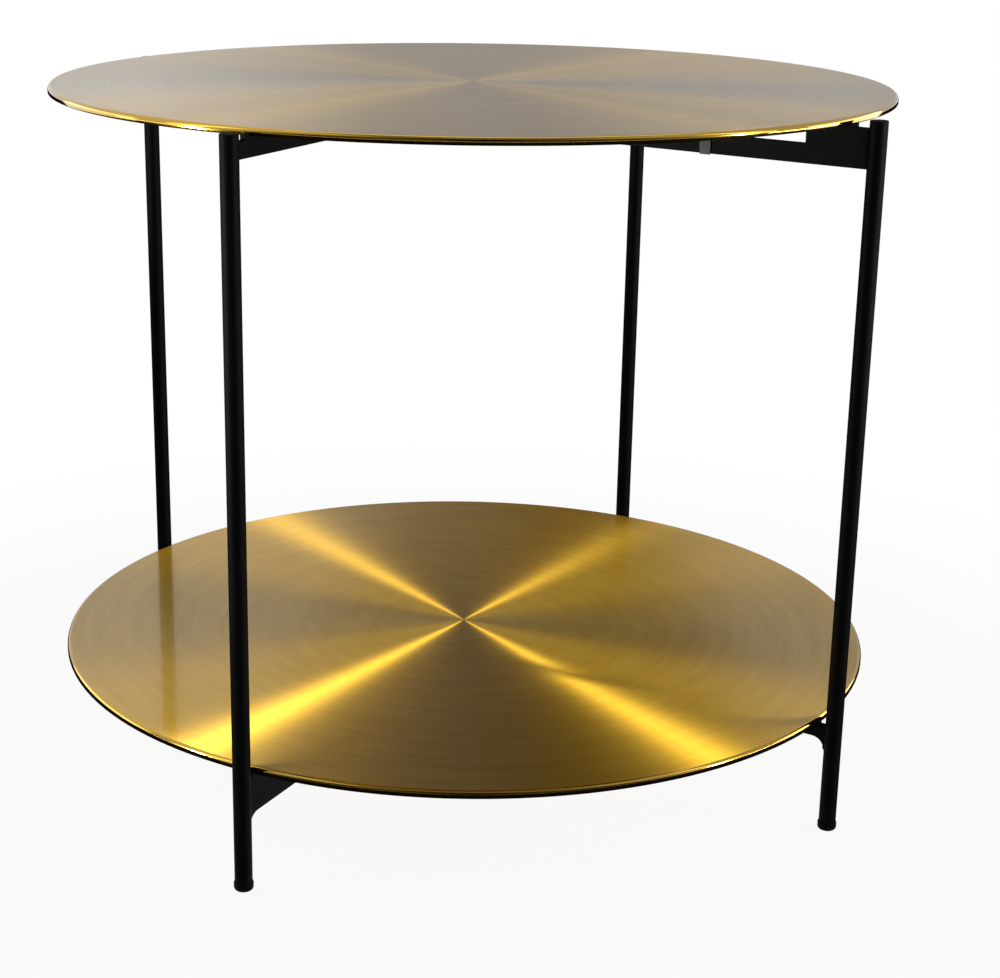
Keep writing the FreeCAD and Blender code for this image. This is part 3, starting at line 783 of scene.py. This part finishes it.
class SIDETABLE_OT_stage(bpy.types.Operator):
    """Sets up the paper floor, the studio round it, the lamps and the camera"""

    bl_idname = "side_table.stage"
    bl_label = "Studio"

    def execute(self, context):
        self.studio = values().studio
        context.scene.view_settings.view_transform = "Standard"
        self.camera(context)
        self.room(context)
        self.floor(context)
        self.lamps(context)
        return {"FINISHED"}

    def facing(self, azimuth):
        """A level direction, its azimuth in degrees round from the camera's right-hand side."""
        turned = math.radians(azimuth) - self.studio.bearing
        return Vector((math.cos(turned), math.sin(turned), 0))

    def camera(self, context):
        studio = self.studio
        data = bpy.data.cameras.new("camera")
        data.sensor_width, data.lens, data.shift_x = 36, studio.lens, studio.aside
        data.clip_start, data.clip_end = 0.05, 100
        camera = bpy.data.objects.new("camera", data)
        context.scene.collection.objects.link(camera)
        context.scene.camera = camera
        level = self.facing(90 + math.degrees(studio.pan))
        right = Vector((level.y, -level.x, 0))
        ahead = level * math.cos(studio.tilt) - Vector((0, 0, math.sin(studio.tilt)))
        up = right.cross(ahead)
        right, up = (math.cos(studio.roll) * right + math.sin(studio.roll) * up,
                     math.cos(studio.roll) * up - math.sin(studio.roll) * right)
        turned = Matrix((right, up, -ahead)).transposed().to_4x4()
        stand = self.facing(270) * studio.away + Vector((0, 0, studio.height))
        camera.matrix_world = Matrix.Translation(stand) @ turned

    def room(self, context):
        """Walls bright up to a little above the table, then a dark gap and a lit ceiling, and
        all dark behind the camera. Coats and paper get an even soft light, and the camera sees
        white."""
        studio = self.studio
        world = bpy.data.worlds.new("studio")
        world.use_nodes = True
        context.scene.world = world
        tree = world.node_tree
        tree.nodes.clear()
        way = add(tree, "ShaderNodeTexCoord").outputs["Generated"]
        rise = add(tree, "ShaderNodeSeparateXYZ", {0: way}).outputs["Z"]
        aside = add(tree, "ShaderNodeVectorMath", {0: way, 1: self.facing(0)},
                    operation="DOT_PRODUCT").outputs["Value"]
        reach = add(tree, "ShaderNodeMath", {0: aside, 1: 0.03}, operation="SUBTRACT").outputs[0]
        reach = add(tree, "ShaderNodeMath", {0: reach}, operation="ABSOLUTE").outputs[0]
        above = add(tree, "ShaderNodeMath", {0: reach, 1: -1.9, 2: rise},
                    operation="MULTIPLY_ADD").outputs[0]
        wall = add(tree, "ShaderNodeMapRange", {0: aside, 1: -0.16, 2: -0.05,
                                                3: studio.left_wall, 4: studio.walls}).outputs[0]
        wall = add(tree, "ShaderNodeMapRange", {0: aside, 1: 0.05, 2: 0.16, 3: wall,
                                                4: studio.right_wall}).outputs[0]
        lit = add(tree, "ShaderNodeMapRange", {0: above, 1: 0.13, 2: 0.24, 3: 1.0, 4: 0.0},
                  interpolation_type="SMOOTHSTEP").outputs[0]
        front = add(tree, "ShaderNodeVectorMath", {0: way, 1: self.facing(270)},
                    operation="DOT_PRODUCT").outputs["Value"]
        above = add(tree, "ShaderNodeMapRange", {0: front, 1: -0.5, 2: -0.2, 3: studio.ceiling,
                                                 4: studio.ceiling * 0.2}).outputs[0]
        gap = add(tree, "ShaderNodeMapRange", {0: aside, 1: 0.0, 2: 0.05, 3: studio.gap,
                                               4: 0.0}).outputs[0]
        above = add(tree, "ShaderNodeMapRange", {0: rise, 1: 0.5, 2: 0.8, 3: gap,
                                                 4: above}).outputs[0]
        wall = add(tree, "ShaderNodeMix", {0: lit, 2: above, 3: wall},
                   data_type="FLOAT").outputs[0]
        front = add(tree, "ShaderNodeMapRange", {0: front, 1: 0.3, 2: 0.7, 3: 1.0, 4: 0.1},
                    interpolation_type="SMOOTHSTEP").outputs[0]
        seen = add(tree, "ShaderNodeMath", {0: wall, 1: front}, operation="MULTIPLY").outputs[0]
        soft = seen_rays(tree, ["Is Diffuse Ray"])
        level = add(tree, "ShaderNodeMix", {0: soft, 2: seen, 3: studio.fill},
                    data_type="FLOAT").outputs[0]
        white = seen_rays(tree, ["Is Camera Ray", "Is Transmission Ray"])
        level = add(tree, "ShaderNodeMix", {0: white, 2: level, 3: 1.0},
                    data_type="FLOAT").outputs[0]
        light = add(tree, "ShaderNodeBackground", {"Color": (1, 1, 1, 1), "Strength": level})
        add(tree, "ShaderNodeOutputWorld", {"Surface": light.outputs[0]})

    def floor(self, context):
        """A white paper floor. Camera, metal and clear pads see it as white, less the table's
        own soft shadow."""
        bm = bmesh.new()
        bmesh.ops.create_circle(bm, cap_ends=True, segments=96, radius=30,
                                matrix=Matrix.Translation((0, 0, -0.1 * MM)))
        bmesh.ops.recalc_face_normals(bm, faces=bm.faces)
        floor = new_object("studio_floor", bm)
        material, tree = new_material("white_floor_paper")
        place = add(tree, "ShaderNodeTexCoord").outputs["Object"]
        fibre = add(tree, "ShaderNodeTexNoise", {"Vector": place, "Scale": 1 / (2 * MM),
                                                 "Detail": 2.0})
        relief = add(tree, "ShaderNodeBump", {"Height": fibre.outputs[0], "Strength": 0.1,
                                              "Distance": 0.05 * MM})
        paper = add(tree, "ShaderNodeBsdfDiffuse", {"Color": solid(self.studio.paper),
                                                    "Normal": relief.outputs[0]})
        white = add(tree, "ShaderNodeEmission", {"Strength": 1.0})
        away = add(tree, "ShaderNodeVectorMath", {0: place}, operation="LENGTH").outputs["Value"]
        lift = add(tree, "ShaderNodeMapRange", {0: away, 1: 0.4, 2: 0.9, 3: 0.92, 4: 1.0},
                   interpolation_type="SMOOTHSTEP").outputs[0]
        seen = seen_rays(tree, ["Is Camera Ray", "Is Glossy Ray", "Is Transmission Ray"])
        lift = add(tree, "ShaderNodeMath", {0: lift, 1: seen}, operation="MULTIPLY").outputs[0]
        close_surface(tree, add(tree, "ShaderNodeMixShader", {0: lift, 1: paper.outputs[0],
                                                              2: white.outputs[0]}))
        floor.data.materials.append(material)
        self.dark_cloth(context)
        self.flag()

    def dark_cloth(self, context):
        """A black cloth on the floor all round the table. Only gloss shows it, so that the
        rims stay dark where they mirror the floor."""
        bm = bmesh.new()
        for radius in (0.32, 9.0):
            bmesh.ops.create_circle(bm, segments=96, radius=radius)
        bmesh.ops.bridge_loops(bm, edges=bm.edges)
        bmesh.ops.translate(bm, verts=bm.verts, vec=(0, 0, 1 * MM))
        cloth = new_object("dark_cloth", bm)
        material, tree = new_material("black_cloth")
        close_surface(tree, add(tree, "ShaderNodeBsdfDiffuse", {"Color": (0.01, 0.01, 0.01, 1)}))
        cloth.data.materials.append(material)
        cloth.visible_camera = cloth.visible_diffuse = cloth.visible_shadow = False
        cloth.visible_transmission = False

    def flag(self):
        """A black flag close to the left low strip, whose light it keeps off the shelf's far
        right side. Only gloss shows it."""
        width, height, middle_up, from_strip = 0.115, 0.19, 0.245, 0.45
        towards = self.facing(32.5)
        stand = self.facing(203) * self.studio.strip_distance + towards * from_strip
        bm = bmesh.new()
        bmesh.ops.create_grid(bm, x_segments=1, y_segments=1, size=0.5,
                              matrix=Matrix.Rotation(math.pi / 2, 4, "X"))
        bmesh.ops.scale(bm, verts=bm.verts, vec=(width, 1, height))
        put_in_place(bm, stand.x, stand.y, middle_up,
                     turned=math.atan2(towards.y, towards.x) - math.pi / 2)
        flag = new_object("black_flag", bm)
        flag.data.materials.append(bpy.data.materials["black_cloth"])
        flag.visible_camera = flag.visible_diffuse = flag.visible_transmission = False

    def lamps(self, context):
        """Upright softboxes round the table: name, azimuth, distance, lower and upper end,
        width and brightness. The low strips reach no higher than the top, so they draw bright
        lines on the shelf and only the high ones light the top."""
        studio = self.studio
        near, far = studio.strip_distance, studio.lamp_distance
        for name, azimuth, distance, low, high, width, glow in (
            ("left_low_strip", 204, near, 0.27, 0.36, 0.09, studio.left_low),
            ("right_low_strip", 337, far, 0.4, 0.5, 0.15, studio.right_low),
            ("left_high_strip", 197, far, 0.5, 2.3, 0.4, studio.left_high),
            ("right_high_strip", 343, far, 0.5, 2.3, 0.4, studio.right_high),
            ("left_panel", 160, far, 0.05, 1.0, 1.4, studio.left_panel),
            ("right_panel", 20, far, 0.05, 1.0, 1.4, studio.right_panel),
            ("left_rim_strip", 187, far, 0.22, 0.31, 1.1, studio.left_rim),
            ("right_rim_strip", 3, far, 0.22, 0.31, 1.2, studio.right_rim),
        ):
            data = bpy.data.lights.new(name, "AREA")
            data.shape, data.size, data.size_y = "RECTANGLE", width, high - low
            data.energy = 4 * glow * width * (high - low)  # as bright at any size
            lamp = bpy.data.objects.new(name, data)
            context.scene.collection.objects.link(lamp)
            away = self.facing(azimuth)
            stand = away * distance + Vector((0, 0, (low + high) / 2))
            across = Vector((0, 0, 1)).cross(away)
            lamp.matrix_world = (Matrix.Translation(stand)
                                 @ Matrix((across, (0, 0, 1), away)).transposed().to_4x4())
            lamp.visible_camera = False
            # the low strips are far brighter than the room, so only gloss shows them
            lamp.visible_diffuse = lamp.visible_transmission = "low_strip" not in name


OPERATORS = (SIDETABLE_OT_trays, SIDETABLE_OT_legs, SIDETABLE_OT_ends, SIDETABLE_OT_bars,
             SIDETABLE_OT_welds, SIDETABLE_OT_pivots, SIDETABLE_OT_pads, SIDETABLE_OT_stage)


class SIDETABLE_PT_panel(bpy.types.Panel):
    """Lists the table's pieces, sizes and colours"""

    bl_idname = "SIDETABLE_PT_panel"
    bl_label = "Side table"
    bl_space_type = "VIEW_3D"
    bl_region_type = "UI"
    bl_category = "Side table"

    def draw(self, context):
        for operator in OPERATORS:
            self.layout.operator(operator.bl_idname)
        for name, group in GROUPS.items():
            box = self.layout.box()
            box.label(text=name.capitalize())
            for value in group.__annotations__:
                box.prop(getattr(values(), name), value)


CLASSES = (*GROUPS.values(), SideTable, *OPERATORS, SIDETABLE_PT_panel)


def register():
    for cls in CLASSES:
        bpy.utils.register_class(cls)
    bpy.types.Scene.side_table = PointerProperty(
        name="Side table", description="Values of the side table", type=SideTable)


def unregister():
    del bpy.types.Scene.side_table
    for cls in reversed(CLASSES):
        bpy.utils.unregister_class(cls)


def main():
    register()
    for operator in OPERATORS:
        group, name = operator.bl_idname.split(".")
        getattr(getattr(bpy.ops, group), name)()


if __name__ == "__main__":
    main()
